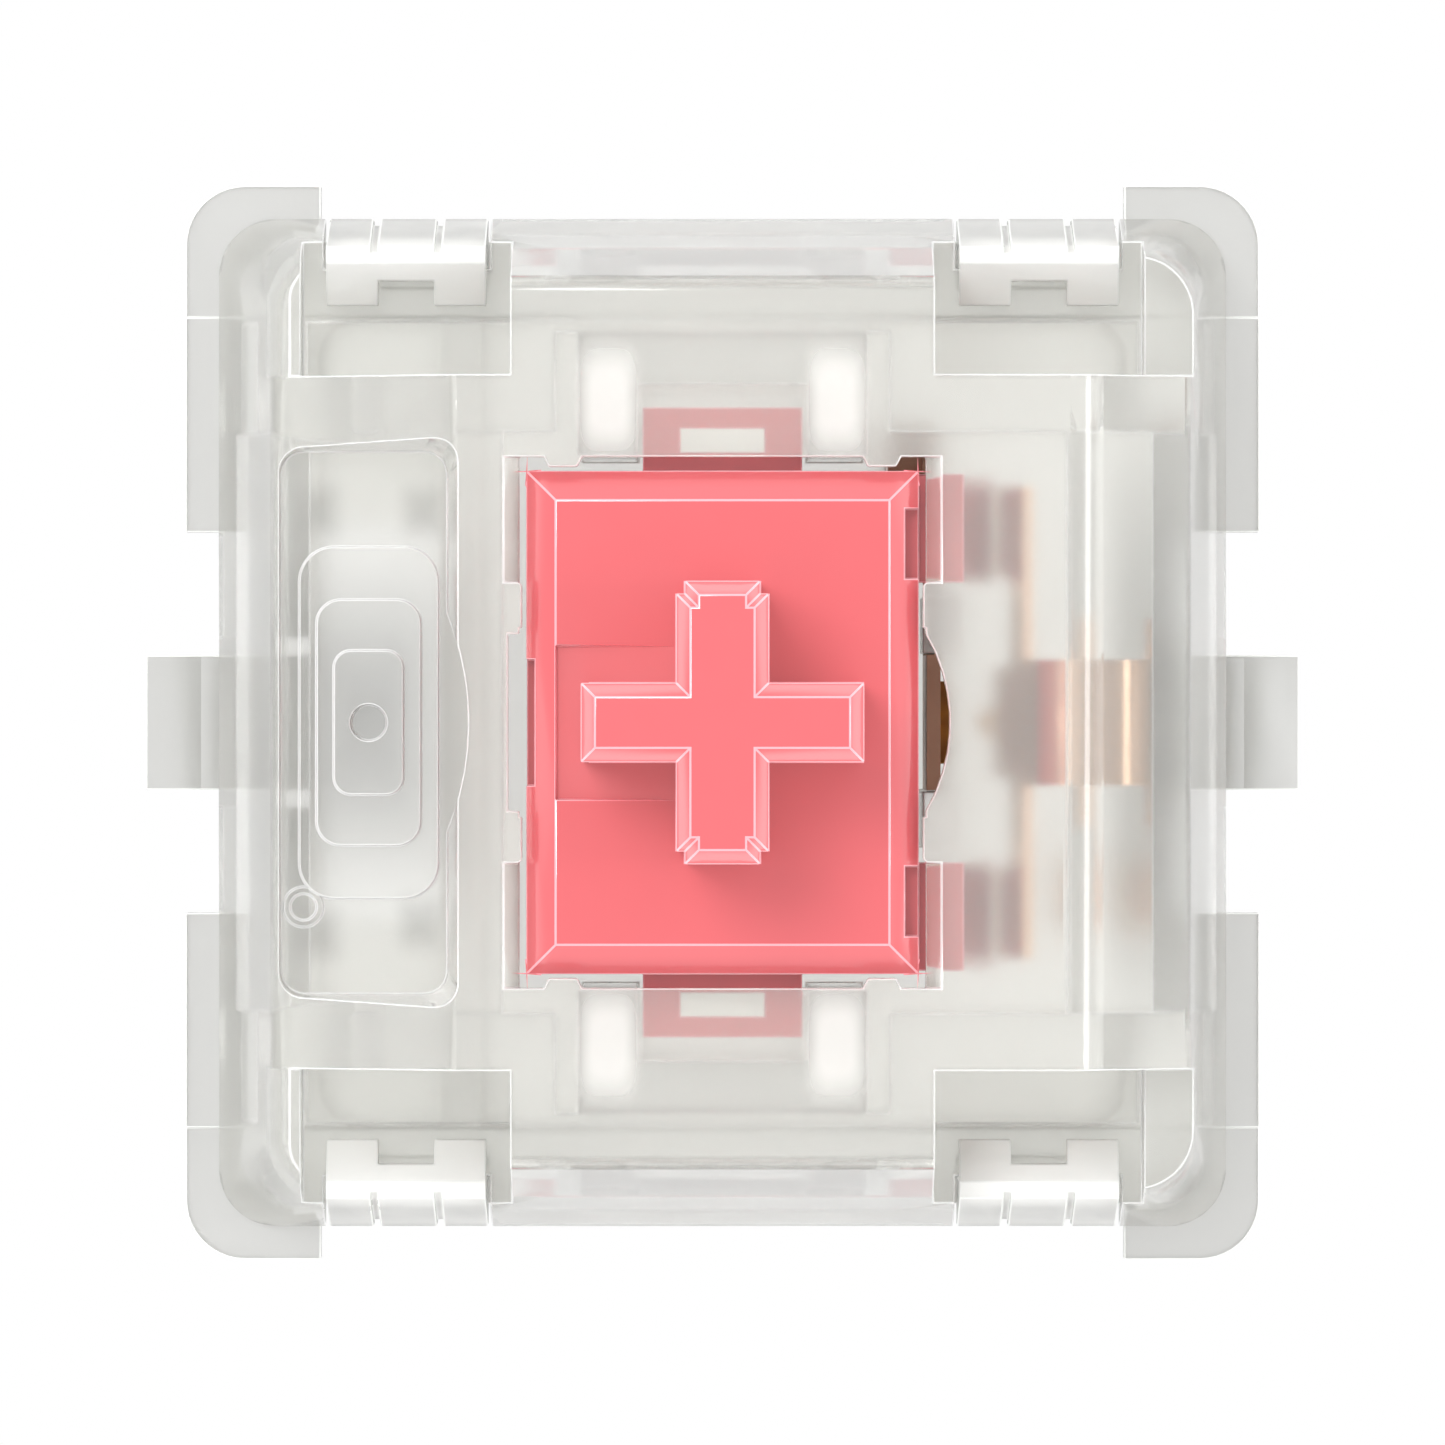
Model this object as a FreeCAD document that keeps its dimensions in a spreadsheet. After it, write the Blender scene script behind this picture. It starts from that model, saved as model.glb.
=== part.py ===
import FreeCAD, Part
import os

import Sketcher

# Mechanical keyboard switch for plate mounting, with a clear housing, a coloured stem and silent pads.
# Millimetres. The origin is on the axis of the centre post, at the face that lies on the circuit board.
# +Z is the way the key stands up, +X is the contact side and -X is the side of the light window.

PLATE_AND_BOARD = {
    "cutout_side": 14.0, "cutout_gap": 0.025, "plate_top": 5.0, "plate_thick": 1.5, "travel": 3.7,
    "stop_gap": 0.05, "fixed_pin_x": 2.54, "fixed_pin_y": 3.81, "moving_pin_inset": 0.77, "moving_pin_y": 2.54,
}
LOWER_HOUSING = {
    "base_draft": 0.325, "base_wall": 0.8, "shell_radius": 0.6, "floor_thick": 1.0,
    "flange_thick": 1.0, "flange_side": 15.6, "flange_radius": 0.87, "flange_lap": 0.1,
    "flange_reach_x": 1.97, "flange_reach_y": 5.04, "corner_drop": 0.1, "corner_reach": 1.92,
    "post_diameter": 4.0, "post_length": 3.0, "post_chamfer": 0.3, "pole_bore": 2.3, "bore_end": 0.7,
    "collar_diameter": 3.3, "collar_height": 1.2,
    "clip_width": 1.96, "clip_slot": 0.25, "clip_root": 1.3, "clip_sink": 0.3, "clip_depth": 0.775,
    "clip_relief": 0.2, "clip_waist": 0.1, "clip_waist_rise": 0.9, "clip_nose": 0.45, "clip_nose_height": 0.35,
    "clip_gap": 0.05, "clip_tab_bend": 0.57, "clip_reach": 1.38, "clip_tab_rise": 0.1, "clip_tab_thick": 0.5,
    "latch_x": 4.55, "latch_width": 2.3, "latch_thick": 0.72, "latch_top_thick": 0.25, "latch_reach": 1.31,
    "latch_height": 1.1, "latch_tip_drop": 0.55, "latch_root": 0.6, "latch_foot": 0.3, "latch_gap": 0.05,
    "latch_notch_width": 0.8, "latch_notch_depth": 0.35, "latch_groove": 0.1, "latch_groove_x": 0.46,
    "bay_wall": 0.6, "slot_gap": 0.03, "rib_back": 0.3, "rib_side_gap": 0.02, "rib_width": 0.83,
    "rib_drop": 0.3, "window_side_gap": 0.15, "window_length": 2.0, "window_half_y": 2.9,
    "guide_gap": 0.1, "guide_width": 4.1, "guide_set_back": 0.05, "guide_wall": 0.75, "rail_back_gap": 0.35,
}
UPPER_HOUSING = {
    "cover_lap": 0.31, "cover_radius": 0.85, "cover_height": 5.6, "cover_lean": 0.96, "cover_wall": 1.0,
    "left_shoulder_in": 0.86, "left_shoulder_drop": 2.2, "left_plateau_out": 1.05,
    "right_shoulder_in": 0.61, "right_shoulder_drop": 1.6, "right_plateau_in": 2.11, "slope_draft": 0.01,
    "top_round": 0.25, "left_shoulder_round": 0.7, "right_shoulder_round": 0.35, "right_plateau_round": 0.8,
    "step_rise": 1.4, "step_x": 3.03, "step_in": 2.34, "ledge_rise": 2.2, "ledge_end_in": 1.26,
    "ledge_wall": 0.8, "hollow_left_in": 0.5, "hollow_right_in": 0.3, "hollow_right_drop": 0.3,
    "hollow_low_in": 0.3, "strip_margin": 0.35, "skirt_drop": 0.9, "skirt_half": 3.2, "skirt_gap": 0.05,
    "recess_sink": 2.4, "recess_left_in": 0.96, "recess_right_out": 1.15, "recess_half_y": 3.9,
    "recess_lean": 0.24, "recess_radius": 0.35, "recess_bulge": 0.2,
    "mark_in": 0.33, "mark_y": 2.65, "mark_outer": 0.58, "mark_inner": 0.38, "mark_rise": 0.04,
    "mark_sink": 0.05,
    "lens_in": 1.13, "lens_step": 0.14, "lens_sink": 0.1, "lens_length": 5.05, "lens_width": 2.0,
    "lens_radius": 0.5, "lens_middle_width": 1.5, "lens_middle_length": 3.53, "lens_middle_radius": 0.35,
    "lens_inner_width": 1.0, "lens_inner_length": 2.07, "lens_inner_radius": 0.25, "lens_eye": 0.52,
    "opening_gap_x": 0.1, "opening_gap_y": 0.2, "opening_bevel": 0.22, "opening_bevel_drop": 0.3,
    "bulge_out": 0.34, "bulge_half_y": 1.26, "left_notch_out": 0.16, "lobe_gap": 0.06, "lobe_ramp": 0.12,
    "lobe_lead": 0.05, "lobe_root_y": 0.1, "lobe_root_x": 0.3, "lobe_y_from": 1.95, "lobe_y_to": 2.6,
    "lobe_x_from": 1.3, "lobe_x_to": 2.0,
}
STEM = {
    "stem_x": 5.6, "stem_y": 7.18, "stem_proud": 0.1, "stem_radius": 0.25, "stem_plate": 1.2,
    "stem_chamfer": 0.42, "stem_chamfer_drop": 0.3, "skirt_rise": 0.85, "spring_pocket": 4.6,
    "cross_height": 3.5, "cross_length": 4.0, "cross_x_thick": 1.12, "cross_y_thick": 1.31,
    "cross_chamfer": 0.2, "cross_sink": 0.1, "cross_notch": 0.12, "cross_notch_length": 0.18,
    "pole_diameter": 2.0, "pole_round": 0.4, "pole_gap": 0.8,
    "facet_half_y": 1.1, "facet_to_x": 0.66, "facet_drop": 0.14,
    "notch_near_y": 2.05, "notch_far_y": 3.05, "notch_depth": 0.2, "notch_drop": 0.7,
    "dent_half_y": 0.9, "dent_depth": 0.12, "dent_drop": 1.4, "rail_width": 2.28, "rail_depth": 0.91,
    "leg_set_in": 0.04, "leg_width": 1.55, "leg_gap": 0.2, "leg_reach": 1.1, "leg_back": 0.65,
    "leg_lead": 0.3, "leg_nose": 0.6, "leg_slope": 2.0,
    "damper_width": 1.2, "damper_inset": 0.27, "damper_thick": 0.34, "damper_stand": 0.03,
}
SPRING_AND_CONTACTS = {
    "spring_diameter": 4.2, "wire": 0.275, "spring_turns": 10.5,
    "sheet": 0.2, "fixed_gap": 0.15, "fixed_half_y": 0.98, "fixed_rise": 1.4, "bar_height": 1.1,
    "pin_width": 1.0, "pin_length": 3.3, "pin_tip": 0.5, "pin_tip_inset": 0.3, "point_rise": 3.6,
    "point_thick": 0.15, "point_height": 0.5, "point_half_y": 0.6, "point_flat": 0.06, "contact_gap": 0.4,
    "leaf_thick": 0.14, "bend_span": 1.3, "bend_half_y": 0.9, "terminal_half_y": 1.5, "terminal_drop": 1.0,
    "neck_overlap": 0.5, "split_gap": 0.01, "wing_gap": 0.05, "wing_inset": 0.1, "wing_margin": 0.15,
    "wing_lap": 0.3, "bend_headroom": 1.4, "wing_share": 0.38, "neck_share": 0.31, "tongue_half_y": 0.8,
    "tongue_tail": 0.3,
}
OVER = 1.0  # how far a cutting tool stands out past what it cuts


class Size:
    """A length known as a number and as the expression over the sheet's cells that gives it."""

    def __init__(self, number, text):
        self.number = number
        self.text = text

    def __add__(self, other):
        return Size(self.number + size(other).number, f"({self.text} + {size(other).text})")

    def __sub__(self, other):
        return Size(self.number - size(other).number, f"({self.text} - {size(other).text})")

    def __mul__(self, other):
        return Size(self.number * size(other).number, f"({self.text} * {size(other).text})")

    def __truediv__(self, other):
        return Size(self.number / size(other).number, f"({self.text} / {size(other).text})")

    def __neg__(self):
        return Size(-self.number, f"(-1 * {self.text})")

    def __rsub__(self, other):
        return size(other) - self

    __radd__ = __add__
    __rmul__ = __mul__


def size(thing):
    return thing if isinstance(thing, Size) else Size(float(thing), str(float(thing)))


class Sheet:
    """The driving dimensions, and the places worked out from them, as cells of a spreadsheet and as sizes."""

    def __init__(self, doc, *groups):
        self.cells = doc.addObject("Spreadsheet::Sheet", "Sizes")
        self.row = 0
        for group in groups:
            for name, number in group.items():
                self.add(name, float(number), str(number))

    def add(self, name, number, content):
        self.row += 1
        self.cells.set(f"A{self.row}", name)
        self.cells.set(f"B{self.row}", content)
        self.cells.setAlias(f"B{self.row}", name)
        setattr(self, name, Size(number, f"Sizes.{name}"))

    def work_out(self, **places):
        for name, length in places.items():
            self.add(name, length.number, "=" + length.text.replace("Sizes.", ""))


doc = FreeCAD.newDocument("KeySwitch")
s = Sheet(doc, PLATE_AND_BOARD, LOWER_HOUSING, UPPER_HOUSING, STEM, SPRING_AND_CONTACTS)

# Half widths of the housing, from the plate inwards, and heights of the housing from the board up
s.work_out(cutout_half=s.cutout_side / 2, flange_half=s.flange_side / 2, floor_z=s.floor_thick * 1)
s.work_out(seat_half=s.cutout_half - s.cutout_gap, cover_half=s.cutout_half + s.cover_lap)
s.work_out(base_half=s.seat_half - s.base_draft, flange_end_y=s.flange_half - s.flange_reach_y)
s.work_out(cavity_half=s.base_half - s.base_wall, rim_z=s.plate_top + s.flange_thick)
s.work_out(cover_z=s.rim_z + s.cover_height, ledge_z=s.rim_z + s.ledge_rise, step_y=s.cover_half - s.step_in)
s.work_out(roof_z=s.cover_z - s.cover_wall, step_z=s.ledge_z + s.step_rise, latch_z=s.ledge_z + s.latch_height,
           recess_z=s.cover_z - s.recess_sink, left_shoulder_z=s.cover_z - s.left_shoulder_drop,
           right_shoulder_z=s.cover_z - s.right_shoulder_drop)

# Stem, its rails and legs, and what the housing places round them
s.work_out(stem_half_x=s.stem_x / 2, stem_half_y=s.stem_y / 2, stem_z=s.cover_z + s.stem_proud)
s.work_out(opening_x=s.stem_half_x + s.opening_gap_x, opening_y=s.stem_half_y + s.opening_gap_y,
           left_plateau_x=s.stem_half_x + s.left_plateau_out, recess_right_x=s.stem_half_x + s.recess_right_out,
           rail_y=s.stem_half_y + s.rail_depth, rail_z=s.floor_z + s.travel + s.stop_gap,
           rail_top_z=s.roof_z - s.stop_gap, ceiling_z=s.stem_z - s.stem_plate - s.stem_chamfer_drop)
s.work_out(guide_back_y=s.rail_y + s.rail_back_gap, bulge_x=s.opening_x + s.bulge_out,
           recess_left_x=s.cover_half - s.recess_left_in, lens_x=s.recess_right_x + s.lens_in)
s.work_out(strip_half_y=s.guide_back_y + s.guide_wall, bar_z=s.floor_z + s.bar_height)
s.work_out(leg_z=s.bar_z + s.travel + s.leg_gap, leg_outer_y=s.stem_half_y - s.leg_set_in,
           leg_nose_x=s.stem_half_x + s.leg_reach)

# Contacts
s.work_out(fixed_x=s.stem_half_x + s.fixed_gap, fixed_z=s.rim_z + s.fixed_rise,
           moving_pin_x=s.cavity_half - s.moving_pin_inset, point_z=s.floor_z + s.point_rise,
           leaf_x=s.leg_nose_x + s.wing_gap, hinge_x=s.cavity_half - s.bend_span, wing_z=s.leg_z + s.wing_lap,
           bend_z=s.roof_z - s.bend_headroom)
s.work_out(fixed_face_x=s.fixed_x + s.sheet, leaf_end_z=s.point_z - s.tongue_tail,
           leaf_rise=s.bend_z - s.wing_z, hinge_z=s.bend_z - s.split_gap - s.leaf_thick / 2)
s.work_out(bridge_z=s.wing_z + s.leaf_rise * s.wing_share, shoulder_z=s.bend_z - s.leaf_rise * s.neck_share)
doc.recompute()


# Helpers for objects bound to the sheet

SIDES = (1, -1)
ENDS = ("back", "front")
CORNERS = [(right, back) for right in SIDES for back in SIDES]
FACING = {
    "XY_Plane": FreeCAD.Rotation(),
    "XZ_Plane": FreeCAD.Rotation(FreeCAD.Vector(1, 0, 0), 90),
    "YZ_Plane": FreeCAD.Rotation(FreeCAD.Vector(1, 1, 1), 120),
}
FACING_AXIS = {"XY_Plane": "z", "XZ_Plane": "y", "YZ_Plane": "x"}


def bind(item, prop, length):
    item.setExpression(prop, size(length).text)


def sided(side, low, high):
    """The span from low to high, or its mirror image where side is -1."""
    return (size(low), size(high)) if side > 0 else (-size(high), -size(low))


def turned(points, right=1, back=1):
    """Points mirrored to the side that the signs give."""
    return [(size(u) * right, size(v) * back) for u, v in points]


def corner_name(right, back):
    return f"{'right' if right > 0 else 'left'}_{'back' if back > 0 else 'front'}"


def oblong(span_x, span_y):
    return [(span_x[0], span_y[0]), (span_x[1], span_y[0]), (span_x[1], span_y[1]), (span_x[0], span_y[1])]


def square(half):
    return oblong((-half, half), (-half, half))


def draw_outline(item, points):
    """A closed outline of straight lines through points, each held by its two distances."""
    points = [(size(u), size(v)) for u, v in points]
    spots = [FreeCAD.Vector(u.number, v.number, 0) for u, v in points]
    for index, spot in enumerate(spots):
        item.addGeometry(Part.LineSegment(spot, spots[(index + 1) % len(spots)]))
    for index, spot in enumerate(spots):
        item.addConstraint(Sketcher.Constraint("Coincident", (index - 1) % len(spots), 2, index, 1))
        for kind, place, length in zip(("DistanceX", "DistanceY"), spot, points[index]):
            number = item.addConstraint(Sketcher.Constraint(kind, -1, 1, index, 1, place))
            bind(item, f"Constraints[{number}]", length)


def outline(name, role, place, points):
    """A free sketch on a plane that stands at a place along its own axis."""
    item = doc.addObject("Sketcher::SketchObject", name)
    item.Placement = FreeCAD.Placement(FreeCAD.Vector(), FACING[role])
    bind(item, f"Placement.Base.{FACING_AXIS[role]}", place)
    draw_outline(item, points)
    return item


def box(name, span_x, span_y, span_z):
    item = doc.addObject("Part::Box", name)
    for prop, axis, (low, high) in zip(("Length", "Width", "Height"), "xyz", (span_x, span_y, span_z)):
        bind(item, prop, size(high) - low)
        bind(item, f"Placement.Base.{axis}", low)
    return item


def rod(name, centre, diameter, span_z):
    item = doc.addObject("Part::Cylinder", name)
    bind(item, "Radius", size(diameter) / 2)
    bind(item, "Height", size(span_z[1]) - span_z[0])
    for axis, place in zip("xyz", (*centre, span_z[0])):
        bind(item, f"Placement.Base.{axis}", place)
    return item


def slab(name, role, points, span):
    """An outline drawn out over a span along the axis that its plane faces."""
    low, high = span
    item = doc.addObject("Part::Extrusion", name)
    item.Base = outline(f"{name}_outline", role, high if role == "XZ_Plane" else low, points)
    item.DirMode = "Normal"
    item.Solid = True
    bind(item, "LengthFwd", size(high) - low)
    return item


def taper(name, *levels):
    """Straight sides between level outlines, each given as a height and its points."""
    item = doc.addObject("Part::Loft", name)
    item.Sections = [outline(f"{name}_outline_{index}", "XY_Plane", height, points)
                     for index, (height, points) in enumerate(levels)]
    item.Solid = True
    item.Ruled = True
    return item


def fuse(name, items):
    item = doc.addObject("Part::MultiFuse", name)
    item.Shapes = items
    item.Refine = True
    return item


def cut(name, base, tools):
    item = doc.addObject("Part::Cut", name)
    item.Base = base
    item.Tool = fuse(f"{name}_tools", tools) if len(tools) > 1 else tools[0]
    item.Refine = True
    return item


def common(name, items):
    item = doc.addObject("Part::MultiCommon", name)
    item.Shapes = items
    return item


def rounded(name, base, radius, choose):
    """A fillet of one radius on the edges of the base that choose takes."""
    doc.recompute()
    item = doc.addObject("Part::Fillet", name)
    item.Base = base
    item.Edges = [(index, radius.number, radius.number)
                  for index, edge in enumerate(base.Shape.Edges, 1) if choose(edge)]
    return item


def upright(edge):
    """True for an edge that runs mostly up and down."""
    spots = [vertex.Point for vertex in edge.Vertexes]
    return len(spots) == 2 and abs(spots[0].z - spots[1].z) > 0.8 * edge.Length


def near(one, other):
    return abs(one - other) < 0.01


def level_at(height):
    return lambda edge: all(near(vertex.Z, height.number) for vertex in edge.Vertexes)


def outermost(half):
    """For the upright edge where both outer faces of a corner pad meet."""
    limit = half.number - 0.01
    return lambda edge: upright(edge) and abs(edge.CenterOfMass.x) > limit and abs(edge.CenterOfMass.y) > limit


def new_body(label):
    body = doc.addObject("PartDesign::Body", label)
    body.Label = label
    return body


def attach(item, body, role):
    base = next(feature for feature in body.Origin.OriginFeatures if feature.Role == role)
    item.AttachmentSupport = (base, [""])
    item.MapMode = "FlatFace"


def block(body, name, span_x, span_y, span_z, cut=False):
    item = body.newObject("PartDesign::SubtractiveBox" if cut else "PartDesign::AdditiveBox", name)
    attach(item, body, "XY_Plane")
    for prop, axis, (low, high) in zip(("Length", "Width", "Height"), "xyz", (span_x, span_y, span_z)):
        bind(item, prop, size(high) - low)
        bind(item, f"AttachmentOffset.Base.{axis}", low)
    return item


def drum(body, name, centre, diameter, span_z, cut=False):
    kind = "PartDesign::SubtractiveCylinder" if cut else "PartDesign::AdditiveCylinder"
    item = body.newObject(kind, name)
    attach(item, body, "XY_Plane")
    bind(item, "Radius", size(diameter) / 2)
    bind(item, "Height", size(span_z[1]) - span_z[0])
    for axis, place in zip("xyz", (*centre, span_z[0])):
        bind(item, f"AttachmentOffset.Base.{axis}", place)
    return item


def roll(body, name, centre, diameter, span_y):
    """A rod along y, centred in the body at x and z."""
    item = body.newObject("PartDesign::AdditiveCylinder", name)
    attach(item, body, "XZ_Plane")
    bind(item, "Radius", size(diameter) / 2)
    bind(item, "Height", size(span_y[1]) - span_y[0])
    for axis, place in zip("xyz", (*centre, -size(span_y[1]))):
        bind(item, f"AttachmentOffset.Base.{axis}", place)
    return item


def sketch(body, name, role, place, points):
    """An outline in a body, on one of its planes at a place along that plane's axis."""
    item = body.newObject("Sketcher::SketchObject", name)
    attach(item, body, role)
    bind(item, "AttachmentOffset.Base.z", -size(place) if role == "XZ_Plane" else place)
    draw_outline(item, points)
    return item


def prism(body, name, role, points, span, cut=False):
    low, high = span
    profile = sketch(body, f"{name}_outline", role, high if role == "XZ_Plane" else low, points)
    item = body.newObject("PartDesign::Pocket" if cut else "PartDesign::Pad", name)
    item.Profile = profile
    bind(item, "Length", size(high) - low)
    item.Reversed = cut
    return item


def loft(body, name, *levels, cut=False):
    profiles = [sketch(body, f"{name}_outline_{index}", "XY_Plane", height, points)
                for index, (height, points) in enumerate(levels)]
    item = body.newObject("PartDesign::SubtractiveLoft" if cut else "PartDesign::AdditiveLoft", name)
    item.Profile = profiles[0]
    item.Sections = profiles[1:]
    item.Ruled = True
    return item


def soften(body, name, length, choose):
    """A fillet on those edges of the body so far that choose takes."""
    doc.recompute()
    base = body.Tip
    names = [f"Edge{index}" for index, edge in enumerate(base.Shape.Edges, 1) if choose(edge)]
    item = body.newObject("PartDesign::Fillet", name)
    item.Base = (base, names)
    bind(item, "Radius", length)
    return item


# Lower housing

def lower_shell():
    shell = taper("lower_walls", (0, square(s.base_half)), (s.plate_top, square(s.seat_half)))
    rim = box("lower_rim", (-s.seat_half, s.seat_half), (-s.seat_half, s.seat_half), (s.plate_top, s.rim_z))
    return rounded("lower_walls_rounded", fuse("lower_block", [shell, rim]), s.shell_radius, upright)


def flange_corners():
    """Four corner pads that rest on the plate."""
    half = s.flange_half
    inner = s.cavity_half + s.flange_lap
    end_x = half - s.flange_reach_x
    points = [(end_x, inner), (inner, inner), (inner, s.flange_end_y), (half, s.flange_end_y), (half, half),
              (end_x, half)]
    corners = []
    for right, back in CORNERS:
        name = f"flange_{corner_name(right, back)}"
        pad = slab(name, "XY_Plane", turned(points, right, back), (s.plate_top, s.rim_z))
        corners.append(rounded(f"{name}_rounded", pad, s.flange_radius, outermost(half)))
    return corners


def flange_steps():
    """The pads are a touch lower at the corners than along the left and right sides."""
    half = s.flange_half
    return [box(f"flange_step_{side > 0}", (-half, half), sided(side, half - s.corner_reach, half),
                (s.rim_z - s.corner_drop, s.rim_z)) for side in SIDES]


def lower_cavity():
    half = s.cavity_half
    hollow = box("lower_hollow", (-half, half), (-half, half), (s.floor_z, s.rim_z))
    return rounded("lower_hollow_rounded", hollow, s.shell_radius, upright)


def centre_post():
    post = rod("post", (0, 0), s.post_diameter, (-s.post_length, s.floor_z))
    doc.recompute()
    tip = doc.addObject("Part::Chamfer", "post_chamfered")
    tip.Base = post
    low = level_at(-s.post_length)
    tip.Edges = [(index, s.post_chamfer.number, s.post_chamfer.number)
                 for index, edge in enumerate(post.Shape.Edges, 1) if low(edge)]
    return [tip, rod("collar", (0, 0), s.collar_diameter, (s.floor_z, s.floor_z + s.collar_height))]


def post_bore():
    return rod("post_bore", (0, 0), s.pole_bore, (s.bore_end - s.post_length, s.floor_z + s.collar_height))


def rail_guides(name, low, high, wall_y):
    """The blocks that hold a channel on each side, in which a rail of the stem runs."""
    return [box(f"{name}_{side > 0}", (-s.guide_width / 2, s.guide_width / 2),
                sided(side, s.opening_y + s.guide_set_back, wall_y), (low, high)) for side in SIDES]


def rail_channels(name, low, high):
    half = s.rail_width / 2 + s.guide_gap
    near_y = s.stem_half_y + s.guide_set_back
    return [box(f"{name}_{side > 0}", (-half, half), sided(side, near_y, s.guide_back_y), (low, high))
            for side in SIDES]


def clip_windows():
    half = s.clip_width / 2 + s.clip_slot
    return [box(f"clip_window_{side > 0}", sided(side, s.seat_half - s.clip_depth, s.seat_half + OVER),
                (-half, half), (s.clip_root, s.rim_z)) for side in SIDES]


def plate_clips():
    """Springy tongues in the left and right walls, with a nose under the plate and a tab to press."""
    half = s.clip_width / 2
    seat = s.cutout_half
    tip_x = seat + s.clip_reach
    inner = s.seat_half - s.clip_depth
    root = s.clip_root - s.clip_sink
    nose_top = s.plate_top - s.plate_thick - s.clip_gap
    tab_low = s.plate_top + s.clip_gap
    tab_tip = tab_low + s.clip_tab_rise
    tab_top = s.rim_z - s.clip_gap
    points = [(inner, root), (s.base_half, root), (seat - s.clip_relief, s.clip_root),
              (seat - s.clip_waist, s.clip_root + s.clip_waist_rise),
              (seat + s.clip_nose, nose_top - s.clip_nose_height), (seat + s.clip_nose, nose_top),
              (seat - s.clip_gap, nose_top), (seat - s.clip_gap, tab_low), (tip_x, tab_tip),
              (tip_x, tab_tip + s.clip_tab_thick), (seat + s.clip_tab_bend, tab_top),
              (inner + s.clip_waist, tab_top)]
    return [slab(f"clip_{side > 0}", "XZ_Plane", turned(points, side), (-half, half)) for side in SIDES]


def latches():
    """Four hooked arms that reach over the ledges of the upper housing."""
    outer = s.cover_half
    inner = outer - s.latch_thick
    foot = inner - s.latch_foot
    tip = outer - s.latch_reach
    above_plate = s.plate_top + s.clip_gap
    hook_under = s.ledge_z + s.latch_gap
    points = [(foot, s.plate_top - s.latch_root), (s.seat_half - s.clip_gap, s.plate_top - s.latch_root),
              (s.seat_half, above_plate), (outer, above_plate), (outer, s.rim_z),
              (inner + s.latch_top_thick, s.latch_z), (inner, s.latch_z), (tip, s.latch_z - s.latch_tip_drop),
              (tip, hook_under), (inner, hook_under), (inner, s.rim_z), (foot, s.rim_z)]
    return [slab(f"latch_{corner_name(right, back)}", "YZ_Plane", turned(points, back),
                 sided(right, s.latch_x - s.latch_width / 2, s.latch_x + s.latch_width / 2))
            for right, back in CORNERS]


def latch_grooves():
    """Two upright grooves down the outer face of each latch arm, which leave three lobes."""
    outer = s.cover_half
    over = outer + OVER
    top = outer - s.latch_thick + s.latch_top_thick - s.latch_groove
    points = [(outer - s.latch_groove, s.plate_top), (over, s.plate_top), (over, s.latch_z), (top, s.latch_z),
              (outer - s.latch_groove, s.rim_z)]
    half = s.latch_groove / 2
    grooves = []
    for right, back in CORNERS:
        for edge in SIDES:
            middle = s.latch_x + s.latch_groove_x * edge
            grooves.append(slab(f"latch_groove_{corner_name(right, back)}_{edge > 0}", "YZ_Plane",
                                turned(points, back), sided(right, middle - half, middle + half)))
    return grooves


def latch_notches():
    low_x = s.latch_x - s.latch_notch_width / 2
    tip = s.cover_half - s.latch_reach
    return [box(f"latch_notch_{corner_name(right, back)}", sided(right, low_x, low_x + s.latch_notch_width),
                sided(back, tip, tip + s.latch_notch_depth), (s.ledge_z + s.latch_gap, s.latch_z))
            for right, back in CORNERS]


def contact_ribs():
    """Two upright ribs that hold the edges of the fixed contact."""
    near = s.fixed_half_y + s.rib_side_gap
    return [box(f"contact_rib_{side > 0}", (s.opening_x, s.fixed_face_x + s.rib_back),
                sided(side, near, near + s.rib_width), (s.floor_z, s.fixed_z - s.rib_drop)) for side in SIDES]


def side_bar_way():
    """A slot through the foot of one rib for the bar that leads to the fixed contact's pin."""
    return box("side_bar_way", (s.stem_half_x, s.fixed_face_x + s.slot_gap),
               (s.fixed_half_y, s.fixed_half_y + s.rib_width + OVER), (s.floor_z, s.bar_z + s.slot_gap))


def window_span():
    """The light window in x, beneath the lens."""
    right = -s.recess_right_x - s.window_side_gap
    return right - s.window_length, right


def bay_wall():
    """A wall between the light window and the stem."""
    right = window_span()[1]
    return box("bay_wall", (right, right + s.bay_wall), (-s.cavity_half, s.cavity_half), (s.floor_z, s.rim_z))


def light_window():
    return box("light_window", window_span(), (-s.window_half_y, s.window_half_y), (0, s.floor_z))


def pin_slots():
    reach_x = s.sheet / 2 + s.slot_gap
    reach_y = s.pin_width / 2 + s.slot_gap
    places = (("fixed", s.fixed_pin_x, s.fixed_pin_y), ("moving", s.moving_pin_x, -s.moving_pin_y))
    return [box(f"{name}_pin_slot", (x - reach_x, x + reach_x), (y - reach_y, y + reach_y), (0, s.floor_z))
            for name, x, y in places]


def make_lower_housing():
    outside = fuse("lower_outside", [lower_shell(), *flange_corners()])
    shell = cut("lower_hollowed", outside, [lower_cavity(), *flange_steps(), *clip_windows()])
    filled = fuse("lower_fittings", [
        shell, *centre_post(), bay_wall(), *contact_ribs(), *plate_clips(), *latches(),
        *rail_guides("lower_guide", s.floor_z, s.rim_z, s.cavity_half)])
    return cut("lower_housing", filled, [
        post_bore(), light_window(), side_bar_way(), *pin_slots(), *latch_notches(), *latch_grooves(),
        *rail_channels("lower_channel", s.floor_z, s.rim_z)])


# Upper housing

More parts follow.
